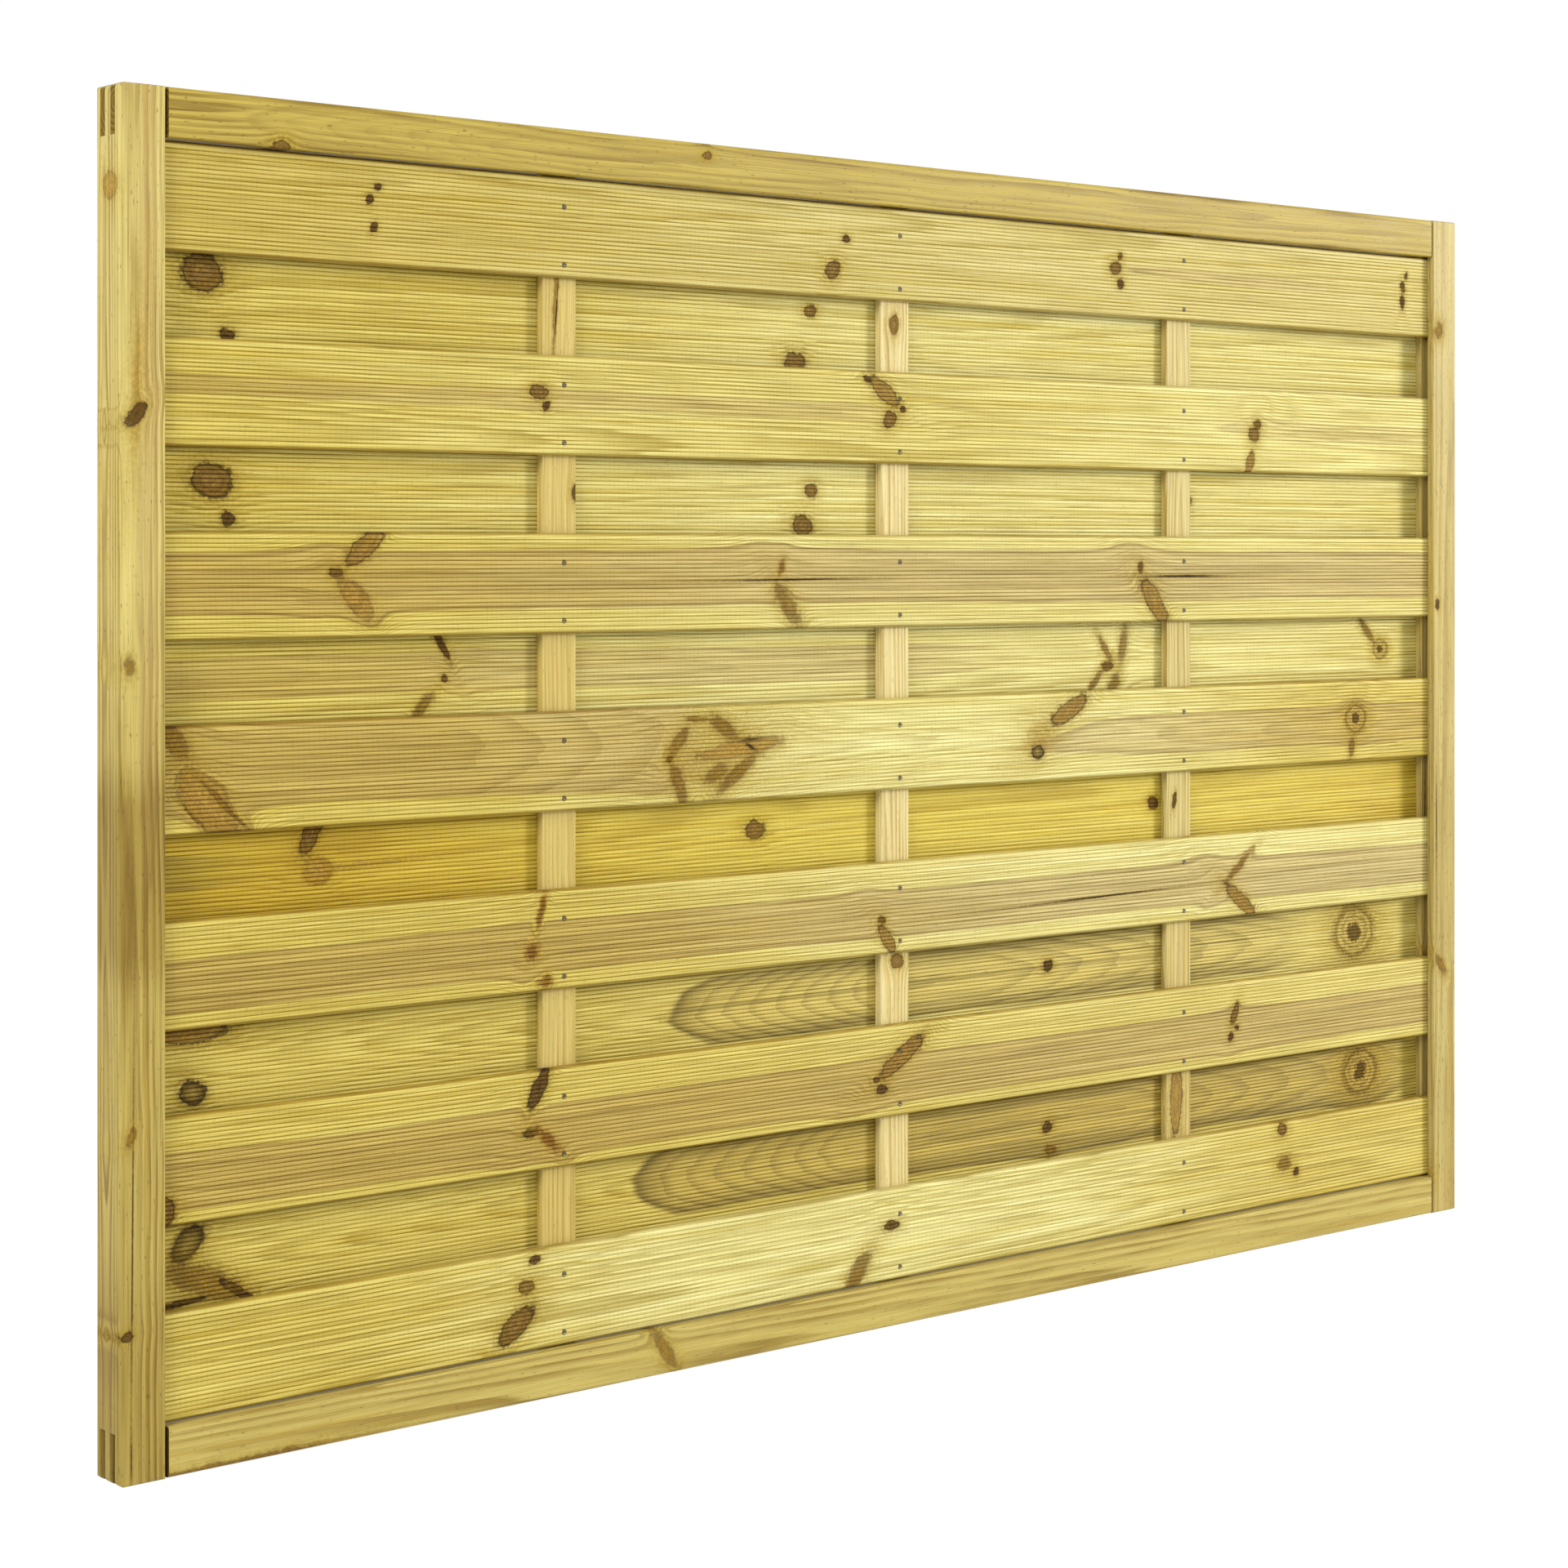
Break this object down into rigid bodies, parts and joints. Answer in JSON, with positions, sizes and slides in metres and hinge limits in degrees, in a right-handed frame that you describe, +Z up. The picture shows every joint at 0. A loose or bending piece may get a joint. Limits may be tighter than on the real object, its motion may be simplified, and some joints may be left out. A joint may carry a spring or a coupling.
{
  "type": "privacy fence panel",
  "caption": "Wooden privacy fence panel: ribbed horizontal boards set alternately in front of and behind upright battens, in a comb-jointed rectangular frame, to stand between two posts.",
  "frame": {"origin": "centre of the panel's bottom face", "axes": "+X along the width, to the right seen from the front; +Y through the thickness, from the front to the back; +Z up"},
  "size_m": [1.8, 0.044, 1.2],
  "materials": {
    "frame_wood": "planed, pressure-treated pine, pale green-yellow",
    "front_board_wood": "ribbed, pressure-treated pine, green-yellow with brown knots",
    "back_board_wood": "ribbed, pressure-treated pine, green-yellow with brown knots",
    "batten_wood": "sawn, pressure-treated pine, pale",
    "galvanised_steel": "dull zinc"
  },
  "bodies": {
    "root": {"left_stile": "frame_wood", "right_stile": "frame_wood", "top_rail": "frame_wood", "bottom_rail": "frame_wood", "front_board_1": "front_board_wood", "front_board_2": "front_board_wood", "front_board_3": "front_board_wood", "front_board_4": "front_board_wood", "front_board_5": "front_board_wood", "front_board_6": "front_board_wood", "front_board_7": "front_board_wood", "back_board_1": "back_board_wood", "back_board_2": "back_board_wood", "back_board_3": "back_board_wood", "back_board_4": "back_board_wood", "back_board_5": "back_board_wood", "back_board_6": "back_board_wood", "left_batten": "batten_wood", "middle_batten": "batten_wood", "right_batten": "batten_wood", "front_board_nails": "galvanised_steel", "back_board_nails": "galvanised_steel", "rail_nails": "galvanised_steel", "corner_staples": "galvanised_steel"}
  },
  "joints": []
}
